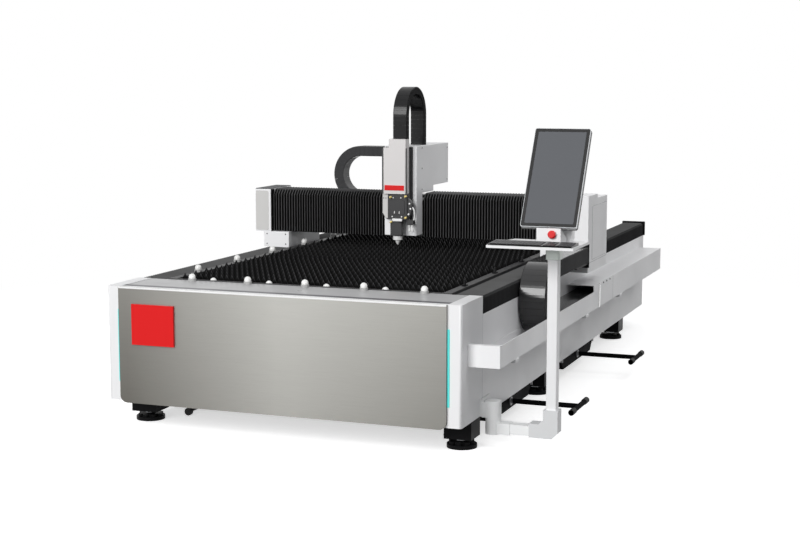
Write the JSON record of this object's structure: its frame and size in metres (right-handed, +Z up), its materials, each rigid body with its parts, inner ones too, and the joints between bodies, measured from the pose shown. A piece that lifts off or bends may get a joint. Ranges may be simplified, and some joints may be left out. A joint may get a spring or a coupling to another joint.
{
  "type": "flatbed fiber laser cutting machine",
  "caption": "Open flatbed laser cutter: long steel bed with a toothed slat table, bellows-covered gantry, cutting head, drag chains, pull-out slag drawers and a swing-arm control console.",
  "frame": {"origin": "on the floor, under the middle of the bed's length and width", "axes": "+X to the operator's right across the bed, +Y from the front panel to the back, +Z up"},
  "size_m": [2.628, 4.43, 1.824],
  "materials": {
    "white_paint": "semi-gloss powder coat on folded sheet and welded steel",
    "panel_steel": "satin champagne-grey sheet with a soft vertical sheen",
    "deck_grey": "matt grey paint",
    "red_plate": "gloss red plate, bare",
    "light_strip": "cyan light diffuser, lit",
    "black_paint": "satin black paint",
    "table_steel": "dark grey painted bars",
    "slat_steel": "dark mill-scale steel with bright tooth tips",
    "ball_plastic": "white nylon",
    "rail_steel": "ground steel",
    "bellows_cloth": "black coated cloth, folded",
    "chain_plastic": "charcoal moulded links",
    "console_paint": "light grey powder coat",
    "dark_alu": "charcoal anodised",
    "cover_grey": "light grey paint",
    "nozzle_steel": "turned bright steel ring and tip",
    "collar_alu": "grey-green cast",
    "key_plastic": "black keys in a glossy black case",
    "stop_red": "gloss red",
    "case_silver": "silver rim",
    "screen_glass": "dark display glass",
    "wheel_rubber": "black tyre on a steel axle"
  },
  "bodies": {
    "bed": {"bed_frame": "white_paint", "slag_hoppers": "black_paint", "front_housing": "white_paint", "front_panel": "panel_steel", "front_deck": "deck_grey", "badge_plate": "red_plate", "led_strips": "light_strip", "foot_brackets": "black_paint", "foot_pads": "black_paint", "table_frame": "table_steel", "slats_front": "slat_steel", "slats_middle": "slat_steel", "slats_rear": "slat_steel", "ball_cups": "ball_plastic", "loading_balls": "ball_plastic", "sheet_stops": "table_steel", "y_rails": "rail_steel", "y_bellows_front": "bellows_cloth", "y_bellows_rear": "bellows_cloth", "cable_tray": "white_paint", "tray_cover": "white_paint", "y_chain": "chain_plastic", "swivel_bracket": "console_paint"},
    "gantry": {"saddles": "white_paint", "y_guide_blocks": "rail_steel", "gantry_beam": "white_paint", "x_rails": "rail_steel", "end_cover_left": "white_paint", "end_cover_right": "white_paint", "y_chain_bracket": "black_paint", "x_bellows": "bellows_cloth", "x_chain_tray": "white_paint", "x_chain": "chain_plastic"},
    "carriage": {"carriage_plate": "rail_steel", "carriage_housing": "white_paint", "z_guide": "dark_alu", "z_chain": "chain_plastic"},
    "head": {"z_slide": "dark_alu", "z_cover": "cover_grey", "cover_badge": "red_plate", "cutting_head": "dark_alu", "head_bracket": "cover_grey", "nozzle": "nozzle_steel"},
    "console_arm": {"swing_arm": "console_paint", "arm_elbow": "console_paint", "console_pole": "console_paint"},
    "console_head": {"pole_collar": "collar_alu", "keyboard_tray": "console_paint", "keyboard": "key_plastic", "stop_box": "console_paint", "monitor_neck": "console_paint"},
    "stop": {"stop_button": "stop_red"},
    "monitor": {"monitor_case": "case_silver", "monitor_screen": "screen_glass"},
    "drawer_front": {"slag_drawer_front": "black_paint"},
    "drawer_rear": {"slag_drawer_rear": "black_paint"},
    "wheelset_front_left": {"wheels_front_left": "wheel_rubber"},
    "wheelset_front_right": {"wheels_front_right": "wheel_rubber"},
    "wheelset_rear_left": {"wheels_rear_left": "wheel_rubber"},
    "wheelset_rear_right": {"wheels_rear_right": "wheel_rubber"}
  },
  "joints": [
    {"name": "gantry_y", "type": "slide", "parent": "bed", "child": "gantry", "axis": [0, 1, 0], "range_m": [-1.35, 1.65], "deforming": ["y_bellows_front", "y_bellows_rear", "y_chain"]},
    {"name": "carriage_x", "type": "slide", "parent": "gantry", "child": "carriage", "axis": [1, 0, 0], "range_m": [-0.72, 0.78], "deforming": ["x_bellows", "x_chain"]},
    {"name": "head_z", "type": "slide", "parent": "carriage", "child": "head", "axis": [0, 0, 1], "range_m": [-0.03, 0.09], "deforming": ["z_chain"]},
    {"name": "console_swing", "type": "hinge", "parent": "bed", "child": "console_arm", "pos_m": [1.062, -1.865, 0.136], "axis": [0, 0, -1], "range_deg": [-45, 80]},
    {"name": "console_turn", "type": "hinge", "parent": "console_arm", "child": "console_head", "pos_m": [1.374, -1.872, 1], "axis": [0, 0, -1], "range_deg": [-45, 45]},
    {"name": "monitor_tilt", "type": "hinge", "parent": "console_head", "child": "monitor", "pos_m": [1.374, -1.8547, 1.31067], "axis": [1, 0, 0], "range_deg": [-20, 0]},
    {"name": "stop_push", "type": "slide", "parent": "console_head", "child": "stop", "axis": [0, 1, 0], "range_m": [0, 0.004], "stiffness_N_per_m": 1500, "springref_m": -0.003},
    {"name": "drawer_front_pull", "type": "slide", "parent": "bed", "child": "drawer_front", "axis": [1, 0, 0], "range_m": [0, 1.2]},
    {"name": "drawer_rear_pull", "type": "slide", "parent": "bed", "child": "drawer_rear", "axis": [1, 0, 0], "range_m": [0, 1.2]},
    {"name": "wheel_front_left_roll", "type": "hinge", "parent": "drawer_front", "child": "wheelset_front_left", "pos_m": [-0.748, -1.31, 0.0223], "axis": [0, 1, 0], "range_deg": [0, 3150]},
    {"name": "wheel_front_right_roll", "type": "hinge", "parent": "drawer_front", "child": "wheelset_front_right", "pos_m": [0.79, -1.31, 0.0223], "axis": [0, 1, 0], "range_deg": [0, 3150]},
    {"name": "wheel_rear_left_roll", "type": "hinge", "parent": "drawer_rear", "child": "wheelset_rear_left", "pos_m": [-0.748, 0.196, 0.0223], "axis": [0, 1, 0], "range_deg": [0, 3150]},
    {"name": "wheel_rear_right_roll", "type": "hinge", "parent": "drawer_rear", "child": "wheelset_rear_right", "pos_m": [0.79, 0.196, 0.0223], "axis": [0, 1, 0], "range_deg": [0, 3150]}
  ],
  "couplings": [
    {"joint": "wheel_front_left_roll", "follows": "drawer_front_pull", "rad_per_m": 45.455},
    {"joint": "wheel_front_right_roll", "follows": "drawer_front_pull", "rad_per_m": 45.455},
    {"joint": "wheel_rear_left_roll", "follows": "drawer_rear_pull", "rad_per_m": 45.455},
    {"joint": "wheel_rear_right_roll", "follows": "drawer_rear_pull", "rad_per_m": 45.455}
  ]
}
